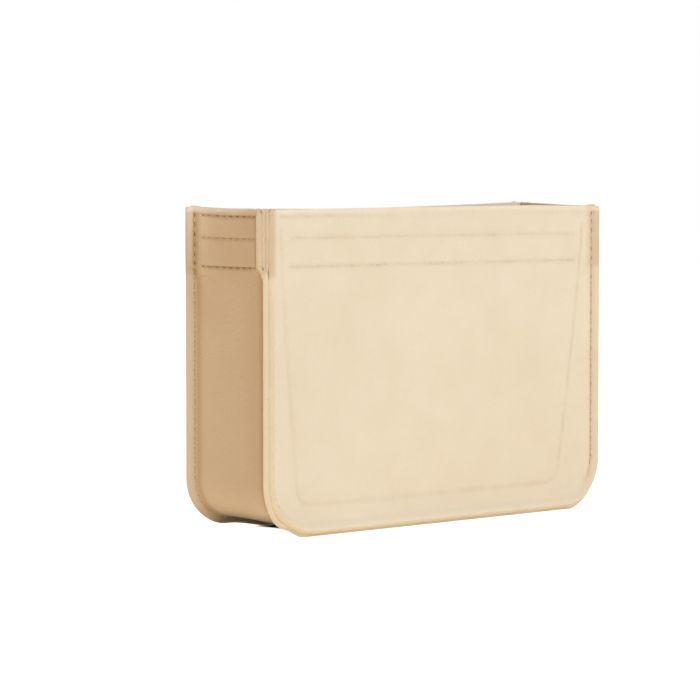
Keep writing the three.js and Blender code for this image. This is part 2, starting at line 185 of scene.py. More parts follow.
class BandSettings(bpy.types.PropertyGroup):
    """Sizes of the doubled band round the top"""
    upper: length("Upper row", "Drop of the upper row of stitches below the top edge", 0.0033)
    middle: length("Middle row", "Drop of the middle row", 0.0133)
    lower: length("Lower row", "Drop of the lower row", 0.0263)
    margin: length("Margin", "Felt below the lower row", 0.0022)
    squeezed: length("Squeezed", "Thickness of the band inside a corner seam", 0.0015)
    thinnest: length("Thinnest", "Thickness of its lower edge in there", 0.0006)
    fade: length("Fade", "Length in which a seam closes round the band's lower edge", 0.003)
    ear: length("Band end radius", "Rounding of the band's ends in the seams", 0.0016)
    fall: length("Row fall", "How far a front row drops from left to right", 0.001)


class PocketSettings(bpy.types.PropertyGroup):
    """Sizes of the pockets on the long walls"""
    front_mouth: length("Front mouth", "Drop of the front pocket's mouth", 0.007)
    front_open: length("Front opening", "How far the front mouth stands off the band", 0.0058)
    ramp: length("Ramp", "Length in which the sides climb onto the band", 0.01)
    back_mouth: length("Back mouth", "Drop of the back pockets' mouths", 0.032)
    back_open: length("Back opening", "How far the back mouths stand off the wall", 0.007)
    rise: length("Rise", "Lower edge above the floor", 0.0108)
    side_gap: length("Side gap", "From the band on the short walls", 0.0004)
    taper: length("Taper", "How much narrower each half is at the bottom", 0.0154)
    corner: length("Corner radius", "Of the pockets' lower corners", 0.011)
    inset: length("Stitch inset", "From a pocket's edge to its stitches", 0.0023)
    low_inset: length("Low inset", "The same at the front pocket's lower edge", 0.0033)
    shift: length("Shift", "How far the front pocket's lower end lies to the left", 0.0042)


class StitchSettings(bpy.types.PropertyGroup):
    """Sizes of the stitches"""
    pitch: length("Pitch", "From one needle hole to the next", 0.0044)
    thread: length("Thread", "Thickness of the thread", 0.00062)
    rest: fraction("Rest", "Share of the pitch that the felt shows between stitches", 0.2)
    groove: length("Groove", "How deep a row sinks into the felt", 0.00045)
    dimple: length("Dimple", "Further depth at each needle hole", 0.00035)
    seam_inset: length("Seam inset", "From a seam's cut edges to its stitches", 0.004)
    upper_end: length("Upper row end", "From the short wall's face", 0.008)
    lower_end: length("Lower row end", "From the short wall's face", 0.014)
    side_end: length("Side row end", "From the long wall's face", 0.0075)


class FinishSettings(bpy.types.PropertyGroup):
    """Colours of the felt and the thread, with painted shade and highlight among them"""
    felt: colour("Felt", "Colour of the felt's faces", (0.83, 0.73, 0.585))
    shade: colour("Felt shade", "Colour of its denser patches", (0.75, 0.635, 0.475))
    # The cut edges' lighter colour is partly the felt's cut and partly painted highlight.
    cut: colour("Cut edge", "Colour of the felt's cut edges", (0.98, 0.87, 0.63))
    # Painted shade in the seams' creases, and soil on the ears.
    crease_shade_and_soil_tone: colour("Soiled felt", "Colour in its creases and on the ears", (0.54, 0.37, 0.21))
    # Loose fibre and painted highlight along the top and bottom edges.
    fray: colour("Frayed edge", "Colour of the loose fibres along an edge", (0.98, 0.93, 0.84))
    # On the rows drawn tight this darker thread tone is painted shade.
    thread: colour("Thread", "Colour of the sewing thread", (0.73, 0.57, 0.37))
    # Painted shade in the needle holes and at the stitches' ends.
    hole: colour("Needle hole", "Colour in the needle holes", (0.2, 0.12, 0.055))


class StudioSettings(bpy.types.PropertyGroup):
    """Camera and lamps"""
    lens: FloatProperty(name="Lens", description="Focal length", default=189.73, unit="CAMERA")
    eye: FloatVectorProperty(name="Eye", description="Where the camera stands", size=3,
                             default=(-1.26427, -1.19461, 0.17704), subtype="TRANSLATION")
    heading: angle_of("Heading", "Turn from +Y towards +X", math.radians(45.85))
    pitch: angle_of("Pitch", "How far the camera looks down", math.radians(3.1875))
    key: watts("Key", "Power of the lamp on the front wall", 23.7)
    key_colour: colour("Key colour", "Colour of the lamp on the front wall", (0.85, 0.935, 1))
    warm: watts("Warm", "Power of the lamp on the short wall", 3.6)
    warm_colour: colour("Warm colour", "Colour of the lamp on the short wall", (1, 0.5, 0.15))
    top: watts("Top", "Power of the lamp overhead", 7)
    back: watts("Back", "Power of the lamp behind the back wall", 9)
    sky: amount("Sky", "Light from all round", 0.19)
    sky_colour: colour("Sky colour", "Colour of the light from all round", (1, 0.77, 0.5))
    floor: amount("Floor", "Light that the floor gives off", 0.26)
    floor_colour: colour("Floor colour", "Colour of the floor's light", (1, 0.7, 0.36))


# Layout

def clamp(value, low=0.0, high=1.0):
    return min(max(value, low), high)


def lerp(a, b, t):
    return a + (b - a) * t


def smooth(t):
    t = clamp(t)
    return t * t * (3 - 2 * t)


def rounding(over, radius):
    """What share of its radius a quarter round has drawn in at this distance along it."""
    return 1 - math.sqrt(1 - (clamp(over, 0, radius) / radius) ** 2)


def arc_reach(radius, below):
    """How far a rounded corner reaches out, so far below its centre."""
    below = clamp(below, 0, radius)
    return math.sqrt(radius * radius - below * below)


def bent(start, corner, end, edge, turns):
    """Points round a soft fold from start to end, and then straight on to the edge."""
    ways = [k / turns for k in range(turns + 1)]
    fold = [start.lerp(corner, t).lerp(corner.lerp(end, t), t) for t in ways]
    return [*fold, *(end.lerp(edge, t) for t in (0.25, 0.5, 0.75, 1))]


def levels(low, high, step, dense=()):
    """Values from low to high, about a step apart, and closer round the dense ones."""
    count = max(1, round((high - low) / step))
    even = [lerp(low, high, k / count) for k in range(count + 1)]
    close = sorted(d + k * step / 3 for d in dense for k in range(-4, 5))
    close = [c for c in close if low + step / 4 < c < high - step / 4]
    kept = [e for e in even[1:-1] if all(abs(e - c) > step / 3 for c in close)]
    return [low, *sorted(kept + close), high]


class Layout:
    """Where the felt and the stitches lie."""

    def __init__(self, scene):
        self.w = scene.organizer_walls
        self.b = scene.organizer_band
        self.p = scene.organizer_pockets
        self.s = scene.organizer_stitches
        w, b = self.w, self.b
        self.felt, self.gap, self.height = w.felt, w.gap, w.height
        self.half_width, self.half_depth, self.corner = w.width / 2, w.depth / 2, w.corner
        self.floor = w.seam / DIAGONAL - w.foot
        self.corner_top = self.floor + self.corner
        self.band_bottom = w.height - b.lower - b.margin
        self.doubled = 2 * w.felt + w.gap
        self.reach = w.seam - w.felt - w.gap / 2
        self.bows = {FRONT: w.front_bow, BACK: w.back_bow}
        self.span = self.half_width - self.doubled - self.gap
        self.slack, self.sag = w.slack, w.back_sag
        self.hems = [self.height - getattr(b, row) for row in ROWS]

    # The long walls

    def wall_y(self, side, x, z, sunk):
        across = clamp(1 - (x / self.span) ** 2)
        up = clamp((z - self.floor) / (self.height - self.floor))
        wave = noise.noise(Vector((x * 22, side * 3.7, z * 26))) * self.slack * min(1, across * 6)
        return side * (self.half_depth - sunk - self.bows[side] * across * up + wave)

    def wall_z(self, side, x, z):
        """The height of a point on a long wall, with the back wall's sag."""
        if side == FRONT:
            return z
        t = clamp((x + self.span) / (2 * self.span))
        hang = math.sin(math.pi * t ** 0.8) ** 2
        return z - self.sag * hang * smooth((z - SAG_FROM) / (self.height - SAG_FROM))

    def wall_point(self, side, x, z, sunk):
        return Vector((x, self.wall_y(side, x, z, sunk), self.wall_z(side, x, z)))

    def lip(self, z, depth):
        """How far a face rounds over at the top edge."""
        return depth * rounding(z - self.height + self.b.upper * 0.7, self.b.upper * 0.7)

    def settled(self, p):
        """The same point where the felt has eased out of shape at the corners."""
        low = smooth(1 - p.z / CURL_HEIGHT) * smooth((-p.x - CURL_START) / CURL_SPAN)
        behind = smooth(p.y / (2 * self.half_depth) + 0.5)
        tucked = smooth(1 - p.z / TUCK_HEIGHT) * smooth((-p.x - TUCK_START) / TUCK_SPAN)
        tucked *= smooth((p.x + TUCK_END) / TUCK_FADE)
        lift = self.w.curl * low * behind + self.w.tuck * tucked * (1 - behind)
        high = smooth((p.z - EASED_FROM) / (self.height - EASED_FROM))
        for x, y, rise, reach in EASED:
            away = Vector((p.x - x * self.half_width, p.y - y * self.half_depth)).length
            lift += rise * high * math.exp(-(away / reach) ** 2)
        return Vector((p.x, p.y, p.z + lift))

    # The seams: out is measured out of a layer's own wall, over out of the other wall

    def squeezed(self, z):
        """The band's thickness inside a seam."""
        return lerp(self.b.thinnest, self.b.squeezed, smooth((z - self.band_bottom) / self.b.fade))

    def eased(self, z):
        """The band's share in how a short wall meets its seams: 0 below it, 1 along it."""
        return smooth((z - self.band_bottom + self.b.fade) / self.b.fade)

    def swell(self, z):
        """How far the band pushes the short wall's layer away from the seam."""
        return self.eased(z) * (2 * self.squeezed(z) + self.gap)

    def panel_offset(self, sunk):
        return self.gap / 2 + self.felt - sunk

    def gusset_offset(self, z, sunk):
        return self.panel_offset(sunk) + self.swell(z)

    def corner_of(self, sunk, offset):
        return Vector((-sunk, -sunk - offset * DIAGONAL))

    def edge_of(self, offset, back=0.0):
        reach = self.reach - back
        return Vector(((reach + offset) / DIAGONAL, (reach - offset) / DIAGONAL))

    def ear(self, z):
        """How far a seam's cut edges draw in at its upper corner."""
        return self.w.ear * rounding(z - self.height + self.w.ear, self.w.ear)

    def seam_profile(self, sunk, offset, back=0.0):
        """A layer's face from its wall, round the fold, to the cut edge."""
        corner, edge = self.corner_of(sunk, offset), self.edge_of(offset, back)
        start = corner - Vector((0, self.w.fold))
        end = corner + (edge - corner).normalized() * self.w.fold
        return bent(start, corner, end, edge, 4)

    def side_profile(self, sunk, offset, share, back=0.0):
        """The same for a short wall, which the band eases out as far as the stitches."""
        corner, edge = self.corner_of(sunk, offset), self.edge_of(offset, back)
        along, crease = (edge - corner).normalized(), self.w.crease
        stitch = edge - along * (self.s.seam_inset - back)
        start = corner - Vector((0, lerp(crease, self.w.spread, share)))
        end = (corner + along * crease).lerp(stitch, share)
        middle = corner.lerp(Vector((corner.x, lerp(start.y, stitch.y, 0.45))), share)
        return bent(start, middle, end, edge, 6)

    def gusset_profile(self, z):
        return self.side_profile(0, self.gusset_offset(z, 0), self.eased(z), self.ear(z))

    def side_band_profile(self, z, back=0.0):
        return self.side_profile(self.doubled, self.squeezed(z) + self.gap, 1, back)

    def frayed(self, place):
        """How much loose fibre and painted highlight lie on a face near the top and the bottom edge.
        """
        top = smooth((place.z - self.height + self.b.upper * 0.9) / (self.b.upper * 0.8))
        rounded = smooth((abs(place.x) - self.span) / self.doubled)
        low = smooth((self.floor + LOW_REACH - place.z) / LOW_FADE)
        return max(lerp(FRAY_AND_HIGHLIGHT["long"], FRAY_AND_HIGHLIGHT["short"], rounded) * top, FRAY_AND_HIGHLIGHT["low"] * low)

    def handled(self, place):
        """How much an ear, where the organizer is taken hold of, has darkened."""
        out_x, out_y = abs(place.x) - self.half_width, abs(place.y) - self.half_depth
        at_ear = smooth((min(out_x, out_y) + EAR_REACH) / EAR_FADE)
        return CREASE_SHADE_AND_SOIL["ear"] * at_ear * self.eased(place.z)

    def panel_crease_shade(self, place):
        """How much painted shade a place on a long wall takes in the crease beside its seam."""
        away = abs(place.x) - self.half_width + self.panel_offset(0) * DIAGONAL
        return CREASE_SHADE_AND_SOIL["panel"] * self.eased(place.z) * math.exp(-(away / CREASE_SHADE_WIDTH["panel"]) ** 2)

    def gusset_fold(self, place):
        """The same for a place on a short wall or on the bottom."""
        offset, share = self.gusset_offset(place.z, 0), self.eased(place.z)
        stitch = (self.reach - offset - self.s.seam_inset) / DIAGONAL
        middle = self.half_depth + lerp(self.corner_of(0, offset).y, stitch, share)
        away = abs(place.y) - middle
        reach = CREASE_SHADE_WIDTH["outside"] if away > 0 else lerp(CREASE_SHADE_WIDTH["gusset"], CREASE_SHADE_WIDTH["band"], share)
        return lerp(CREASE_SHADE_AND_SOIL["gusset"], CREASE_SHADE_AND_SOIL["band"], share) * math.exp(-(away / reach) ** 2)

    def side_point(self, end, y, z, profile):
        """A point on a short wall's face, out of the flat near its seams."""
        knots = [(p.y, p.x) for p in profile]
        out = interpolated(knots, max(abs(y) - self.half_depth, knots[0][0]))
        return Vector((end * (self.half_width + out), y, z))

    def stations(self, step, top=None, dense=()):
        """The U of the short walls and the bottom: places on its outer face, and the way out."""
        top = self.height if top is None else top
        heights = levels(self.corner_top, top, step, dense)[::-1]
        half = [(-self.half_width, z, -1.0, 0.0) for z in heights]
        turns = max(4, round(self.corner * math.pi / 2 / step))
        for k in range(1, turns + 1):
            angle = math.pi * (1 + k / turns / 2)
            nx, nz = math.cos(angle), math.sin(angle)
            half.append((self.corner - self.half_width + self.corner * nx,
                         self.corner_top + self.corner * nz, nx, nz))
        flat = self.half_width - self.corner
        count = round(2 * flat / step)
        bottom = [(lerp(-flat, flat, k / count), self.floor, 0.0, -1.0) for k in range(1, count)]
        return [*half, *bottom, *((-x, z, -nx, nz) for x, z, nx, nz in reversed(half))]

    def on_gusset(self, station, side, place):
        x, z, nx, nz = station
        return Vector((x + nx * place.x, side * (self.half_depth + place.y), z + nz * place.x))

    def on_wall(self, station, side, place):
        x, z, nx, nz = station
        return Vector((x + nx * place.y, side * (self.half_depth + place.x), z + nz * place.y))

    # The pockets

    def mouth(self, side):
        return self.height - (self.p.front_mouth if side == FRONT else self.p.back_mouth)

    def slant(self, z):
        top = self.height - self.p.front_mouth
        return clamp((top - z) / (top - self.p.rise)) ** 1.3

    def slanted_half(self, z):
        return self.half_width - self.doubled - self.p.side_gap - self.p.taper * self.slant(z)

    def slanted_middle(self, side, z):
        return -self.p.shift * self.slant(z) if side == FRONT else 0.0

    def corner_inset(self, z):
        """How far a pocket's edge draws in at its rounded lower corners."""
        return self.p.corner - arc_reach(self.p.corner, self.p.rise + self.p.corner - z)

    def pocket_seat(self, side, z):
        low = self.felt + self.gap
        if side == BACK:
            return low
        climb = smooth((z - self.band_bottom + self.gap + self.p.ramp) / self.p.ramp)
        return lerp(low, self.doubled + self.s.thread + 2 * self.gap / 3, climb)

    def open_seat(self, side, z):
        low, mouth = self.p.rise + self.p.inset, self.mouth(side)
        swing = max(math.sin(math.pi / 2 * clamp((z - low) / (mouth - low))), 0) ** 0.8
        width = self.p.front_open if side == FRONT else self.p.back_open
        return lerp(self.felt + self.gap, self.pocket_seat(side, mouth) + width, swing)

    def pocket_sunk(self, side, across, z):
        knots = FRONT_MOUTH if side == FRONT else BACK_MOUTH
        parts = [interpolated(knots, clamp(across + d, -1, 1)) for d in (-0.04, -0.02, 0, 0.02, 0.04)]
        opened = sum(parts) / len(parts)
        return lerp(self.pocket_seat(side, z), self.open_seat(side, z), opened)


def interpolated(knots, at):
    for (a, low), (b, high) in zip(knots, knots[1:]):
        if at <= b:
            return lerp(low, high, (at - a) / (b - a))
    return knots[-1][1]


# Rows of stitches: each is a list of (place, way out of the felt)

def even_run(points, step):
    """The same run with its places an even step apart."""
    lengths = [0.0]
    for (a, _), (b, _) in zip(points, points[1:]):
        lengths.append(lengths[-1] + (b - a).length)
    count = max(1, round(lengths[-1] / step))
    run, k = [], 0
    for i in range(count + 1):
        at = lengths[-1] * i / count
        while k < len(points) - 2 and lengths[k + 1] < at:
            k += 1
        t = clamp((at - lengths[k]) / max(lengths[k + 1] - lengths[k], 1e-9))
        (a, na), (b, nb) = points[k], points[k + 1]
        run.append((a.lerp(b, t), na.lerp(nb, t).normalized()))
    return run


def band_row(lay, wall, row):
    """The outer and the inner run of a band's row of stitches."""
    z = lay.height - getattr(lay.b, row)
    if wall in SIDES:
        side, faces, count = SIDES[wall], (0, lay.doubled), 120
        end = lay.half_width - (lay.s.upper_end if row == "upper" else lay.s.lower_end)
        fall = lay.b.fall / 2 if side == FRONT and row != "upper" else 0
        out = Vector((0, side, 0))

        def point(at, sunk):
            return lay.wall_point(side, at, z - fall * at / end, sunk)
    else:
        side, faces, count = ENDS[wall], (lay.gusset_profile(z), lay.side_band_profile(z)), 20
        end = lay.half_depth - lay.s.side_end
        out = Vector((side, 0, 0))

        def point(at, profile):
            return lay.side_point(side, at, z, profile)

    steps = [lerp(-end, end, k / count) for k in range(count + 1)]
    return [[(point(at, face), way) for at in steps] for face, way in zip(faces, (out, -out))]


def seam_row(lay, side):
    """The two faces of a corner seam's row, right round the U."""
    inset = lay.s.seam_inset
    on_panel, on_gusset = [], []
    for station in lay.stations(SEAM_STEP, lay.height - lay.b.upper):
        _, z, nx, nz = station
        away = Vector((-nx, side, -nz)).normalized()
        place = lay.edge_of(lay.panel_offset(0), inset)
        on_panel.append((lay.on_wall(station, side, place), away))
        place = lay.edge_of(lay.gusset_offset(z, 0), inset)
        on_gusset.append((lay.on_gusset(station, side, place), -away))
    return on_panel, on_gusset


def pocket_row(lay, side):
    """The row round a pocket's sides and bottom."""
    p = lay.p
    wide, tall = p.corner - p.inset, p.corner - (p.low_inset if side == FRONT else p.inset)
    corner_top = p.rise + p.corner
    path = [(p.inset - lay.slanted_half(z), z)
            for z in levels(corner_top, lay.mouth(side) - p.inset, SIDE_STEP)[::-1]]
    centre = p.corner - lay.slanted_half(corner_top)
    for k in range(1, 9):
        angle = math.pi * (1 + k / 16)
        path.append((centre + wide * math.cos(angle), corner_top + tall * math.sin(angle)))
    low = path[-1]
    bottom = [(lerp(low[0], -low[0], k / 60), low[1]) for k in range(1, 60)]
    path = [*path, *bottom, *((-x, z) for x, z in reversed(path))]
    return wall_runs(lay, side, path)


def centre_row(lay):
    """The row that parts the back pockets."""
    low, top = lay.p.rise + lay.p.inset + 0.002, lay.mouth(BACK) - lay.p.inset
    return wall_runs(lay, BACK, [(0, lerp(top, low, k / 50)) for k in range(51)])


def wall_runs(lay, side, path):
    outer, inner = [], []
    for aside, z in path:
        x = lay.slanted_middle(side, z) + aside
        sunk = lay.pocket_sunk(side, clamp(aside / lay.slanted_half(z), -1, 1), z) + lay.felt
        outer.append((lay.wall_point(side, x, z, 0), Vector((0, side, 0))))
        inner.append((lay.wall_point(side, x, z, sunk), Vector((0, -side, 0))))
    return outer, inner


def tightness(name, place, out):
    """How tight a row is drawn, which also sets its painted shade: the rows on the front wall's face
    hardly show.
    """
    if name.startswith("front") and out.y < 0:
        if "seam" in name:
            return smooth((place.z - SEAM_TIGHT) / SEAM_FADE)
        left, right, start, end = FRONT_TIGHT[name.removeprefix("front_")]
        uneven = 1 + FRONT_UNEVEN * noise.noise(place * 90)
        return uneven * lerp(left, right, smooth((place.x - start) / (end - start)))
    return MIDDLE_TIGHT if name.endswith("middle") else 1.0


class Needlework:
    """Every row of stitches, and where the felt sinks in along them."""

    def __init__(self, lay):
        self.lay = lay
        self.rows = {}
        for wall in WALLS:
            for row in ROWS:
                self.rows[f"{wall}_band_thread_{row}"] = band_row(lay, wall, row)
        for wall, side in SIDES.items():
            self.rows[f"{wall}_seam_thread"] = seam_row(lay, side)
            self.rows[f"{wall}_pocket_thread"] = pocket_row(lay, side)
        self.rows["back_pocket_centre_thread"] = centre_row(lay)
        lines, holes, self.tight = [], [], []
        for name, runs in self.rows.items():
            runs = [[(lay.settled(place), out) for place, out in run] for run in runs]
            self.rows[name] = runs
            for run in runs:
                close = even_run(run, lay.s.pitch / 8)
                lines += [place for place, _ in close]
                self.tight += [tightness(name, place, out) for place, out in close]
                holes += [place for place, _ in even_run(run, lay.s.pitch)]
        self.lines, self.holes = self.tree(lines), self.tree(holes)

    @staticmethod
    def tree(places):
        tree = kdtree.KDTree(len(places))
        for k, place in enumerate(places):
            tree.insert(place, k)
        tree.balance()
        return tree

    def press(self, bm, folded=None):
        """Sink the felt along the rows that lie on its shown face, and note where, as painted shade
        along the rows and in their needle holes.

        Where the given crease function is above 0 at a place, the felt takes painted shade in the
        crease beside a seam.
        """
        s = self.lay.s
        sewn, pressed, soiled, frayed = (bm.verts.layers.float.new(key)
                                         for key in ("sewn", "pressed", "soiled", "frayed"))
        # Painted shade in the creases beside the seams and soil on the ears, loose fibre and a
        # painted highlight near the edges.
        for v in bm.verts:
            v[soiled] = max(folded(v.co) if folded else 0, self.lay.handled(v.co))
            v[frayed] = self.lay.frayed(v.co)
        for v in bm.verts:
            v.co = self.lay.settled(v.co)
        bm.normal_update()
        moves = []
        for v in bm.verts:
            _, nearest, off = self.lines.find(v.co)
            if off > SEWN_REACH:
                continue
            tight = self.tight[nearest]
            hole = tight * math.exp(-(self.holes.find(v.co)[2] / HOLE_REACH) ** 2)
            line = math.exp(-(off / lerp(*LINE_REACH, clamp(tight))) ** 2)
            depth = s.groove * line * (0.15 + 0.85 * tight) + s.dimple * hole
            # The last value is the painted shade along the row and in its needle holes.
            moves.append((v, depth, (min(2.2 * tight, 1) * line + hole) / 2))
        for v, depth, amount in moves:
            v.co -= v.normal * depth
            v[sewn], v[pressed] = amount, depth


# Shader nodes

class Socket:
    """An output socket that takes part in Python expressions."""

    def __init__(self, nodes, out):
        self.nodes, self.out = nodes, out

    def maths(self, operation, *values, clamped=False):
        return self.nodes.add("ShaderNodeMath", *values, operation=operation, use_clamp=clamped)

    def __add__(self, other):
        return self.maths("ADD", self, other)

    def __sub__(self, other):
        return self.maths("SUBTRACT", self, other)

    def __rsub__(self, other):
        return self.maths("SUBTRACT", other, self)

    def __mul__(self, other):
        return self.maths("MULTIPLY", self, other)

    def __pow__(self, other):
        return self.maths("POWER", self, other)

    def __abs__(self):
        return self.maths("ABSOLUTE", self)

    def larger(self, other):
        return self.maths("MAXIMUM", self, other)

    def clamped(self):
        return self.maths("ADD", self, 0.0, clamped=True)

    def above(self, low, high):
        """0 below low, 1 above high, and a smooth way between."""
        return self.nodes.add("ShaderNodeMapRange", self, low, high, 0.0, 1.0,
                              interpolation_type="SMOOTHSTEP")


class Nodes:
    """The node tree of one material or world."""

    def __init__(self, owner):
        owner.use_nodes = True
        self.tree = owner.node_tree
        self.tree.nodes.clear()

    def add(self, kind, *values, output=0, named=None, **settings):
        node = self.tree.nodes.new(kind)
        for key, value in settings.items():
            setattr(node, key, value)
        for key, value in {**dict(enumerate(values)), **(named or {})}.items():
            if isinstance(value, Socket):
                self.tree.links.new(value.out, node.inputs[key])
            else:
                node.inputs[key].default_value = value
        return Socket(self, node.outputs[output]) if len(node.outputs) else None

    def mix(self, factor, first, second):
        """One colour into another."""
        return self.add("ShaderNodeMix", output=2, data_type="RGBA",
                        named={0: factor, 6: first, 7: second})

    def attribute(self, name):
        return self.add("ShaderNodeAttribute", output=2, attribute_name=name)

    def direct(self):
        """1 for rays from the camera and their mirrored ones, 0 for the light on other things."""
        outputs = self.tree.nodes.new("ShaderNodeLightPath").outputs
        camera, glossy = (Socket(self, outputs[f"Is {kind} Ray"]) for kind in ("Camera", "Glossy"))
        return (camera + glossy).clamped()

    def place(self, scale=(1, 1, 1), turn=(0, 0, 0)):
        """Object coordinates, turned back and then scaled."""
        coordinates = self.add("ShaderNodeTexCoord", output=3)
        return self.add("ShaderNodeMapping", coordinates, vector_type="TEXTURE",
                        named={"Scale": [1 / factor for factor in scale], "Rotation": turn})

    def noise(self, scale, detail=2.0, rough=0.5, place=None, distortion=0.0):
        return self.add("ShaderNodeTexNoise", named={
            "Vector": place or self.place(), "Scale": scale, "Detail": detail,
            "Roughness": rough, "Distortion": distortion})

    def surface(self, tone, rough, relief, shine):
        """Finish a material: its relief is (strength, distance, height)."""
        bump = self.add("ShaderNodeBump", named=dict(zip(("Strength", "Distance", "Height"), relief)))
        shader = self.add("ShaderNodeBsdfPrincipled", named={
            "Base Color": tone, "Roughness": rough, "Normal": bump, **shine})
        self.add("ShaderNodeOutputMaterial", shader)


def rgba(tone, gain=1.0):
    return (*(clamp(c * gain) for c in tone), 1)


def felt_material(name, finish):
    """Needled felt: tangled fibres, small pills and soft patches."""
    edge = name == "felt_cut_edge"
    material = bpy.data.materials.new(name)
    nodes = Nodes(material)
    strands = [nodes.noise(1.0, 2.0, 0.6, nodes.place((460, 3100, 3100), turn), 0.9)
               for turn in ((0.3, 0.55, 0.2), (0.2, -0.9, 1.4), (0.9, 1.35, 0.5),
                            (-0.4, -0.3, 2.1), (0.6, 0.95, 1.1))]
    fibre = strands[0]
    for strand in strands[1:]:
        fibre = fibre.larger(strand)
    fibre = fibre.above(0.5, 0.8)
    grain = nodes.noise(1500, 3.0, 0.6)
    pills = nodes.noise(420, 2.0, 0.5, distortion=0.4).above(0.5, 0.72)
    patches = nodes.noise(48, 3.0, 0.55)
    clouds = nodes.noise(14, 2.0, 0.5)
    sewn, soiled, frayed = (nodes.attribute(key) for key in ("sewn", "soiled", "frayed"))
    # The tone darkens along the rows of stitches as painted shade.
    tone = (patches.above(0.3, 0.75) * 0.24 + clouds.above(0.3, 0.7) * 0.2 + 0.08
            + fibre * -0.22 + grain * 0.25 + sewn * 1.1).clamped()
    # A cut edge's lighter colour is partly the felt's cut, partly painted highlight.
    body = rgba(finish.cut if edge else finish.felt)
    colour_out = nodes.mix(tone, body, rgba(finish.shade, 1.1 if edge else 1))
    flecks = nodes.noise(900, 1.0, 0.5).above(0.72, 0.8) * 0.25
    colour_out = nodes.mix(flecks, colour_out, rgba(finish.shade, 0.7))
    # Painted shade in the seams' creases, and soil on the ears.
    colour_out = nodes.mix(soiled, colour_out, rgba(finish.crease_shade_and_soil_tone))
    if not edge:
        # Loose fibre and painted highlight near the top and bottom edges.
        colour_out = nodes.mix((frayed + (fibre - 0.5) * 0.2 * frayed).clamped(), colour_out,
                               rgba(finish.fray))
    # Painted shade in the needle holes.
    colour_out = nodes.mix(sewn.above(0.55, 0.9) * 0.75, colour_out, rgba(finish.hole, 1.3))
    height = fibre * 0.5 + grain * 0.35 + pills * 0.5 + patches * 0.8
    relief = (0.75, 0.0005, height) if edge else (0.55, 0.00035, height)
    nodes.surface(colour_out, grain * 0.08 + 0.9, relief, {
        "Sheen Weight": 0.06, "Sheen Roughness": 0.55, "Sheen Tint": rgba((1, 0.93, 0.8)),
        "Specular IOR Level": 0.12, "IOR": 1.45})
    return material


def thread_material(name, finish):
    """Two-ply sewing thread, with painted shade on the rows drawn tight and where it enters the felt.
    """
    material = bpy.data.materials.new(name)
    nodes = Nodes(material)
    along, turn, sunk, tight = (nodes.attribute(key)
                                for key in ("along", "turn", "sunk", "tight"))
    ply = nodes.add("ShaderNodeMath", along * 28 + turn, operation="SINE") * 0.5 + 0.5
    fuzz = nodes.noise(2600, 2.0)
    twist = (ply * 0.45 + fuzz * 0.35).clamped()
    tone = nodes.mix(twist, rgba(finish.felt, 0.92), rgba(finish.felt, 1.02))
    # On rows drawn tight the darker thread tone is painted shade.
    tone = nodes.mix(tight, tone, nodes.mix(twist, rgba(finish.thread, 0.8),
                                            rgba(finish.thread, 1.2)))
    # Painted shade at the thread's ends, where it enters the needle holes.
    tone = nodes.mix(sunk.above(0.4, 0.95) * (tight * 0.85 + 0.15), tone, rgba(finish.hole))
    nodes.surface(tone, 0.62, (0.6, 0.0002, ply + fuzz * 0.3), {
        "Sheen Weight": 0.15, "Specular IOR Level": 0.3})
    return material


def material_for(key, finish):
    """The named material, made when it is first asked for."""
    if key not in MATERIALS:
        make = thread_material if key == "sewing_thread" else felt_material
        MATERIALS[key] = make(key, finish)
    return MATERIALS[key]


# Meshes

def laid_grid(columns, rows, place):
    """A sheet of columns by rows points, laid out by place(column, row)."""
    bm = bmesh.new()
    bmesh.ops.create_grid(bm, x_segments=columns - 1, y_segments=rows - 1, size=0.5)
    for v in bm.verts:
        column, row = (round((c + 0.5) * (n - 1)) for c, n in ((v.co.x, columns), (v.co.y, rows)))
        v.co, v.tag = place(column, row), row == rows - 1
    return bm


def face_towards(bm, way_out):
    """Turn the sheet so that its faces point the way that way_out(centre) tells."""
    bm.normal_update()
    balance = sum(f.normal.dot(way_out(f.calc_center_median())) * f.calc_area() for f in bm.faces)
    if balance < 0:
        bmesh.ops.reverse_faces(bm, faces=bm.faces)
        bm.normal_update()


def placed(name, data):
    """A new object of this data in the open scene."""
    thing = bpy.data.objects.new(name, data)
    bpy.context.scene.collection.objects.link(thing)
    return thing


def finished(bm, name, slot):
    """Put the mesh into the scene as a piece of the organizer."""
    mesh = bpy.data.meshes.new(name)
    for face in bm.faces:
        face.smooth = True
    bm.to_mesh(mesh)
    bm.free()
    piece = placed(name, mesh)
    keys = ("needled_felt", "felt_cut_edge") if slot == "felt" else ("sewing_thread",)
    for key in keys:
        mesh.materials.append(material_for(key, bpy.context.scene.organizer_finish))
    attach(piece, "root")
    return piece


def thicken(piece, lay, squeezed):
    """Give a sheet the felt's thickness behind its shown face, less where it is pressed.

    The vertex group holds half the share of that thickness, so a sheet may also swell.
    """
    group = piece.vertex_groups.new(name="thickness")
    depths = piece.data.attributes["pressed"].data
    for v, depth in zip(piece.data.vertices, depths):
        group.add([v.index], (squeezed(v.co) - depth.value / lay.felt) / 2, "REPLACE")
    solid = piece.modifiers.new("Felt thickness", "SOLIDIFY")
    solid.thickness = 2 * lay.felt
    solid.offset = -1
    solid.use_even_offset = True
    solid.material_offset_rim = 1
    solid.vertex_group = group.name
    bevel = piece.modifiers.new("Soft cut edges", "BEVEL")
    bevel.width = EDGE_ROUND
    bevel.segments = 2
    bevel.limit_method = "ANGLE"
    bevel.angle_limit = math.radians(50)


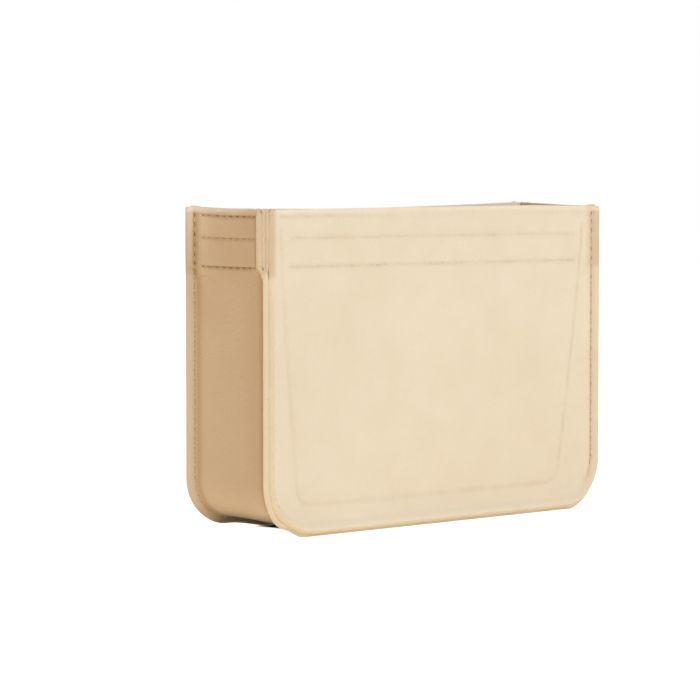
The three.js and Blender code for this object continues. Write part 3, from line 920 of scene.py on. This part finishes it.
def dressed(lay, sewing, bm, node, way_out, sheet, folded=None, squeezed=lambda co: 1):
    """Sew a sheet, give it its thickness and put it in the place of its plain solid.

    The sheet tells its flat size, how it is held and what it rests on, but it is not used. Where the
    felt is bowed and pressed in, it measures 1 to 2 % more than the cut, so the area stops at the
    flat size.
    """
    face_towards(bm, way_out)
    sewing.press(bm, folded)
    for v in bm.verts:
        v.co.z = max(v.co.z, 0.0)  # the lowest cut edges are worn level where the box stands
    area = sum(f.calc_area() for f in bm.faces)
    piece = finished(bm, f"{node}_felt", "felt")
    thicken(piece, lay, squeezed)
    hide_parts(node)
    flat, held, under = sheet
    min(area, flat[0] * flat[1])
    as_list(under)


def unfolded(half, profile):
    """The width of a sheet that reaches half this far each way, with its seam edges laid flat."""
    edge = sum((b - a).length for a, b in zip(profile, profile[1:]))
    return 2 * (half + profile[0].y + edge)


def panel_piece(lay, sewing, wall):
    """A long wall, with its edge turned out round the U."""
    side = SIDES[wall]
    profile = lay.seam_profile(0, lay.panel_offset(0))
    radius, flat = lay.corner + profile[0].y, lay.half_width - lay.corner
    turns = [math.pi / 2 * k / PANEL_TURNS for k in range(PANEL_TURNS)]
    heights = [lay.corner_top - radius * math.cos(turn) for turn in turns]
    heights += levels(lay.corner_top, lay.height, ROW_STEP, lay.hems)

    def place(column, row):
        z = heights[row]
        half = flat + arc_reach(radius, lay.corner_top - z)
        x = half * (2 * column / (PANEL_COLUMNS - 1) - 1)
        return lay.wall_point(side, x, z, lay.lip(z, lay.w.front_lip))

    def on_u(x, z):
        """The place on the U beside a point of the rim, and the way out from there."""
        if z >= lay.corner_top:
            z = lay.height if z > lay.height - TOP_REACH else z
            return (math.copysign(lay.half_width, x), 0, z), (math.copysign(1, x), 0, 0)
        if abs(x) <= flat + 1e-7:
            return (x, 0, lay.floor), (0, 0, -1)
        centre = Vector((math.copysign(flat, x), 0, lay.corner_top))
        out = (Vector((x, 0, z)) - centre).normalized()
        return centre + out * lay.corner, out

    bm = laid_grid(PANEL_COLUMNS, len(heights), place)
    for e in bm.edges:
        e.tag = all(v.tag for v in e.verts)
    layers = bm.verts.layers.float_vector
    origin, way = layers.new("origin"), layers.new("way")
    rim = [e for e in bm.edges if e.is_boundary and not e.tag]
    for v in {v for e in rim for v in e.verts}:
        v[origin], v[way] = on_u(v.co.x, v.co.z)
    for point in profile[1:]:
        made = bmesh.ops.extrude_edge_only(bm, edges=rim)["geom"]
        rim = [g for g in made if isinstance(g, bmesh.types.BMEdge)]
        for v in (g for g in made if isinstance(g, bmesh.types.BMVert)):
            drawn = point - (point - profile[0]) * (lay.ear(v[origin].z) / lay.w.seam)
            v.co = lay.on_wall((v[origin].x, v[origin].z, v[way].x, v[way].z), side, drawn)
    for key in ("origin", "way"):
        layers.remove(layers[key])
    flat_size = (lay.w.width + PANEL_GAIN, lay.height - PANEL_LOSS)
    dressed(lay, sewing, bm, f"{wall}_panel", lambda at: Vector((0, side, 0)),
            (flat_size, "stretched", ["gusset_strip"]), lay.panel_crease_shade,
            lambda co: 1 - lay.lip(co.z, lay.w.front_lip) / lay.felt)


def gusset_piece(lay, sewing, node):
    """The strip of both short walls and the bottom, with its edges turned out."""
    stations = lay.stations(GUSSET_STEP, dense=lay.hems)
    count = len(lay.gusset_profile(lay.height))

    def place(column, row):
        station = stations[column]
        z = station[1]
        profile = lay.gusset_profile(z)
        if row < count:
            return lay.on_gusset(station, FRONT, profile[count - 1 - row])
        if row >= count + GUSSET_ROWS:
            return lay.on_gusset(station, BACK, profile[row - count - GUSSET_ROWS])
        t = (row - count + 1) / (GUSSET_ROWS + 1)
        inner = lay.half_depth + profile[0].y
        y = lerp(-inner, inner, t)
        edge = min(1, 8 * t * (1 - t))
        wave = noise.noise(Vector((station[0] * 30, y * 30, z * 30))) * lay.slack
        out = (wave - lay.lip(z, lay.w.side_lip)) * edge
        return lay.on_gusset(station, BACK, Vector((out, y - lay.half_depth)))

    def swollen(co):
        below = 1 - smooth((co.z - lay.band_bottom + FILL_REACH) / FILL_FADE)
        filled = below * lay.swell(co.z) * smooth((abs(co.x) - lay.half_width) / FILL_REACH)
        return 1 - (lay.lip(co.z, lay.w.side_lip) - filled) / lay.felt

    bm = laid_grid(len(stations), GUSSET_ROWS + 2 * count, place)
    centre = Vector((0, 0, lay.height / 2))
    flat = lay.height - lay.corner_top + lay.half_width - lay.corner
    size = (2 * flat + math.pi * lay.corner,
            unfolded(lay.half_depth, lay.gusset_profile(lay.corner_top)))
    dressed(lay, sewing, bm, node, lambda at: at - centre,
            (size, "folded", ["front_panel", "back_panel"]), lay.gusset_fold, swollen)


def band_piece(lay, sewing, wall):
    """One wall's strip of the band, its ends held in the corner seams."""
    heights = levels(lay.band_bottom, lay.height, ROW_STEP, lay.hems)
    long_wall = wall in SIDES
    columns = BAND_COLUMNS[long_wall]
    half = lay.half_width if long_wall else lay.half_depth

    def profile(z):
        back = lay.b.ear - arc_reach(lay.b.ear, lay.band_bottom + lay.b.ear - z)
        if long_wall:
            return lay.seam_profile(lay.doubled, -lay.squeezed(z), back)
        return lay.side_band_profile(z, back)

    count = len(profile(lay.height))
    total = columns + 2 * count

    def place(column, row):
        z = heights[row]
        run = profile(z)
        end = -1 if column < total / 2 else 1
        out = end if long_wall else ENDS[wall]
        station = (out * lay.half_width, z, float(out), 0.0)
        in_seam = count - 1 - min(column, total - 1 - column)
        along = lerp(-1, 1, (column - count + 1) / (columns + 1)) * (half + run[0].y)
        if long_wall and in_seam >= 0:
            return lay.on_wall(station, SIDES[wall], run[in_seam])
        if long_wall:
            return lay.wall_point(SIDES[wall], along, z, lay.doubled)
        if in_seam >= 0:
            return lay.on_gusset(station, end, run[in_seam])
        return Vector((out * (lay.half_width - lay.doubled), along, z))

    def squeezed(co):
        into_seam = abs(co.y) - lay.half_depth if long_wall else abs(co.x) - lay.half_width
        return lerp(1, lay.squeezed(co.z) / lay.felt, smooth(into_seam / lay.doubled + 1))

    bm = laid_grid(total, len(heights), place)
    inward = Vector((0, -SIDES[wall], 0)) if long_wall else Vector((-ENDS[wall], 0, 0))
    size = (unfolded(half, profile(lay.height)), lay.height - lay.band_bottom)
    under = f"{wall}_panel" if long_wall else "gusset_strip"
    dressed(lay, sewing, bm, f"{wall}_band", lambda at: inward,
            (size, "folded", [under]), squeezed=squeezed)


def pocket_piece(lay, sewing, wall):
    """A pocket's sheet, its mouth standing open."""
    side, p = SIDES[wall], lay.p
    mouth = lay.mouth(side)
    turns = [math.pi / 2 * k / POCKET_TURNS for k in range(POCKET_TURNS)]
    heights = [p.rise + p.corner * (1 - math.cos(turn)) for turn in turns]
    heights += levels(p.rise + p.corner, mouth, POCKET_STEP)

    def place(column, row):
        z = heights[row]
        across = 2 * column / (POCKET_COLUMNS - 1) - 1
        x = lay.slanted_middle(side, z) + across * (lay.slanted_half(z) - lay.corner_inset(z))
        sunk = lay.pocket_sunk(side, across, z) + lay.felt
        return lay.wall_point(side, x, z, sunk)

    bm = laid_grid(POCKET_COLUMNS, len(heights), place)
    dressed(lay, sewing, bm, f"{wall}_pocket", lambda at: Vector((0, -side, 0)),
            ((2 * lay.slanted_half(mouth), mouth - p.rise), "hung", [f"{wall}_panel"]))


def stitches_piece(lay, sewing, name):
    """One row of single stitches on both sides of the felt."""
    s = lay.s
    grain = thread_grain()
    shapes = [v.co.copy() for v in grain.verts]
    # How tight each stitch is drawn, which its material turns into painted shade.
    drawn = grain.verts.layers.float.new("tight")
    one = bpy.data.meshes.new("thread_grain")
    bm = bmesh.new()
    half = s.pitch * (1 - s.rest) / 2
    for run in sewing.rows[name]:
        holes = even_run(run, s.pitch)
        for (a, na), (b, nb) in zip(holes, holes[1:]):
            forward, out = (b - a).normalized(), (na + nb).normalized()
            out = (out - forward * out.dot(forward)).normalized()
            sideways = out.cross(forward)
            seed = noise.noise(a * 900) * 0.5
            tight = tightness(name, a, na)
            centre = (a + b) / 2 - out * (s.groove * (DEPTH - DEPTH_TIGHT * tight))
            lean = LEAN + LEAN_VARIES * seed
            width = s.thread / 2 * (1 + WIDTH_VARIES * seed)
            reach = half * (1 + LENGTH_VARIES * seed)
            for v, shape in zip(grain.verts, shapes):
                t = shape.z
                v[drawn] = tight
                v.co = (centre + forward * (t * reach)
                        + sideways * ((shape.x + lean * t) * width)
                        + out * (shape.y * width - t * t * s.thread * END_DIP))
            grain.to_mesh(one)
            bm.from_mesh(one)
    grain.free()
    bpy.data.meshes.remove(one)
    bm.normal_update()
    piece = finished(bm, name.replace("thread", "stitches"), "thread")
    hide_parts(name)


def thread_grain():
    """The round grain that every stitch is bent from, marked along and round the thread."""
    bm = bmesh.new()
    along, turn, sunk = (bm.verts.layers.float.new(key) for key in ("along", "turn", "sunk"))
    bmesh.ops.create_uvsphere(bm, u_segments=7, v_segments=6, radius=1)
    for v in bm.verts:
        v[along], v[turn], v[sunk] = v.co.z, math.atan2(v.co.y, v.co.x), abs(v.co.z)
    return bm


# Operators

class BuildOperator(bpy.types.Operator):
    """Shared by every operator that makes pieces: it calls make for each of its names"""
    bl_options = {"REGISTER", "UNDO"}

    def execute(self, context):
        lay, sewing = planned(context.scene)
        for name in self.names:
            type(self).make(lay, sewing, name)
        return {"FINISHED"}


def planned(scene):
    """The layout and its needlework, worked out again only when a size has changed."""
    groups = (scene.organizer_walls, scene.organizer_band, scene.organizer_pockets,
              scene.organizer_stitches)
    sizes = tuple(getattr(group, key) for group in groups for key in group.__annotations__)
    if sizes not in PLANS:
        lay = Layout(scene)
        PLANS[sizes] = lay, Needlework(lay)
    return PLANS[sizes]


class ORGANIZER_OT_studio(bpy.types.Operator):
    """Place the floor, the lamps and the camera"""
    bl_idname = "organizer.studio"
    bl_label = "Studio"

    def execute(self, context):
        scene, studio = context.scene, context.scene.organizer_studio
        add_floor(studio)
        add_world(scene, studio)
        add_lamp("top_lamp", studio.top, (1, 0.92, 0.8), (0, 0, 1.3), (1.2, 1.2))
        add_lamp("key_lamp", studio.key, studio.key_colour, (-0.1, -1.75, 0.8), (1.2, 0.9))
        add_lamp("warm_lamp", studio.warm, studio.warm_colour, (-1.5, 0.2, 0.6), (0.9, 0.6))
        add_lamp("back_lamp", studio.back, (1, 0.9, 0.76), (1.2, 1.4, 0.9), (1.2, 0.9))
        add_camera(scene, studio)
        scene.view_settings.view_transform = "Standard"
        return {"FINISHED"}


def add_floor(studio):
    bm = bmesh.new()
    bmesh.ops.create_grid(bm, x_segments=1, y_segments=1, size=FLOOR_REACH)
    bmesh.ops.translate(bm, verts=bm.verts, vec=(0, 0, -FLOOR_DROP))
    mesh = bpy.data.meshes.new("studio_floor")
    bm.to_mesh(mesh)
    bm.free()
    floor = placed("studio_floor", mesh)
    material = bpy.data.materials.new("studio_floor")
    nodes = Nodes(material)
    place = nodes.add("ShaderNodeSeparateXYZ", nodes.place())
    place_y = Socket(nodes, place.out.node.outputs[1])
    away_x, away_y, under_y = abs(place), abs(place_y), abs(place_y - PAINTED_SHADOW_SHIFT)
    # A painted shadow under the box: the floor shows black to the camera there.
    outside_painted_shadow = away_x.above(*PAINTED_SHADOW_X).larger(under_y.above(*PAINTED_SHADOW_Y))
    # Painted shade under the box: the floor is dark there and gives off no light.
    outside_painted_shade = away_x.above(*PAINTED_SHADE_X).larger(away_y.above(*PAINTED_SHADE_Y))
    paper_with_painted_shade = nodes.mix(outside_painted_shade, (0.03, 0.03, 0.03, 1), (0.85, 0.85, 0.85, 1))
    sheet = nodes.add("ShaderNodeBsdfDiffuse", paper_with_painted_shade)
    away = (away_x * away_x + away_y * away_y) ** 0.5
    direct = nodes.direct()
    shown = 1 - outside_painted_shade * (away.above(0.25, 0.8) * -0.1 + 0.1)
    strength = direct * shown * outside_painted_shadow + (1 - direct) * outside_painted_shade * studio.floor
    glow = nodes.add("ShaderNodeEmission",
                     nodes.mix(direct, rgba(studio.floor_colour), (1, 1, 1, 1)), strength)
    both = nodes.add("ShaderNodeAddShader", sheet, glow)
    nodes.add("ShaderNodeOutputMaterial", both)
    mesh.materials.append(material)


def add_world(scene, studio):
    world = bpy.data.worlds.new("studio_world")
    scene.world = world
    nodes = Nodes(world)
    direct = nodes.direct()
    tone = nodes.mix(direct, rgba(studio.sky_colour), (1, 1, 1, 1))
    background = nodes.add("ShaderNodeBackground", tone, direct * (1 - studio.sky) + studio.sky)
    nodes.add("ShaderNodeOutputWorld", background)


def aimed(place, way):
    """A place that looks this way."""
    return Matrix.Translation(place) @ way.to_track_quat("-Z", "Y").to_matrix().to_4x4()


def add_lamp(name, power, tone, place, size):
    data = bpy.data.lights.new(name, "AREA")
    data.shape = "RECTANGLE"
    data.size, data.size_y = size
    data.energy = power
    data.color = tone
    placed(name, data).matrix_world = aimed(place, LAMP_TARGET - Vector(place))


def add_camera(scene, studio):
    data = bpy.data.cameras.new("photo_camera")
    data.sensor_width = 36
    data.lens = studio.lens
    data.clip_end = 20
    scene.camera = placed("photo_camera", data)
    level = math.cos(studio.pitch)
    way = Vector((math.sin(studio.heading) * level, math.cos(studio.heading) * level,
                  -math.sin(studio.pitch)))
    scene.camera.matrix_world = aimed(Vector(studio.eye), way)


class ORGANIZER_OT_long_walls(BuildOperator):
    """Lay out the front and the back wall"""
    bl_idname = "organizer.long_walls"
    bl_label = "Long Walls"
    make, names = panel_piece, SIDES


class ORGANIZER_OT_gusset(BuildOperator):
    """Lay out the strip of both short walls and the bottom"""
    bl_idname = "organizer.gusset"
    bl_label = "Gusset Strip"
    make, names = gusset_piece, ("gusset_strip",)


class ORGANIZER_OT_band(BuildOperator):
    """Line the top of all four walls with the band"""
    bl_idname = "organizer.band"
    bl_label = "Band"
    make, names = band_piece, WALLS


class ORGANIZER_OT_pockets(BuildOperator):
    """Hang the pockets inside both long walls"""
    bl_idname = "organizer.pockets"
    bl_label = "Pockets"
    make, names = pocket_piece, SIDES


class ORGANIZER_OT_band_stitches(BuildOperator):
    """Sew the three rows round the band"""
    bl_idname = "organizer.band_stitches"
    bl_label = "Band Stitches"
    make = stitches_piece
    names = [f"{wall}_band_thread_{row}" for wall in WALLS for row in ROWS]


class ORGANIZER_OT_seam_stitches(BuildOperator):
    """Sew the long walls to the gusset"""
    bl_idname = "organizer.seam_stitches"
    bl_label = "Seam Stitches"
    make, names = stitches_piece, ("front_seam_thread", "back_seam_thread")


class ORGANIZER_OT_pocket_stitches(BuildOperator):
    """Sew the pockets to the long walls"""
    bl_idname = "organizer.pocket_stitches"
    bl_label = "Pocket Stitches"
    make = stitches_piece
    names = ("front_pocket_thread", "back_pocket_thread", "back_pocket_centre_thread")


class ORGANIZER_PT_sidebar(bpy.types.Panel):
    """Lists the steps that make the organizer"""
    bl_idname = "ORGANIZER_PT_sidebar"
    bl_label = "Purse Organizer Insert"
    bl_space_type = "VIEW_3D"
    bl_region_type = "UI"
    bl_category = "Organizer"

    def draw(self, context):
        for group in SETTINGS:
            box = self.layout.box()
            settings = getattr(context.scene, group)
            for key in settings.__annotations__:
                box.prop(settings, key)
        for operator in STEPS:
            self.layout.operator(operator.bl_idname)


SETTINGS = {
    "organizer_walls": WallSettings,
    "organizer_band": BandSettings,
    "organizer_pockets": PocketSettings,
    "organizer_stitches": StitchSettings,
    "organizer_finish": FinishSettings,
    "organizer_studio": StudioSettings,
}
STEPS = (
    ORGANIZER_OT_studio,
    ORGANIZER_OT_long_walls,
    ORGANIZER_OT_gusset,
    ORGANIZER_OT_band,
    ORGANIZER_OT_pockets,
    ORGANIZER_OT_band_stitches,
    ORGANIZER_OT_seam_stitches,
    ORGANIZER_OT_pocket_stitches,
)


def register():
    for cls in (*SETTINGS.values(), *STEPS, ORGANIZER_PT_sidebar):
        bpy.utils.register_class(cls)
    for name, cls in SETTINGS.items():
        setattr(bpy.types.Scene, name, PointerProperty(type=cls))


def unregister():
    for name in SETTINGS:
        delattr(bpy.types.Scene, name)
    for cls in reversed((*SETTINGS.values(), *STEPS, ORGANIZER_PT_sidebar)):
        bpy.utils.unregister_class(cls)


def main():
    register()
    bpy.ops.organizer.studio()
    bpy.ops.organizer.long_walls()
    bpy.ops.organizer.gusset()
    bpy.ops.organizer.band()
    bpy.ops.organizer.pockets()
    bpy.ops.organizer.band_stitches()
    bpy.ops.organizer.seam_stitches()
    bpy.ops.organizer.pocket_stitches()


if __name__ == "__main__":
    main()
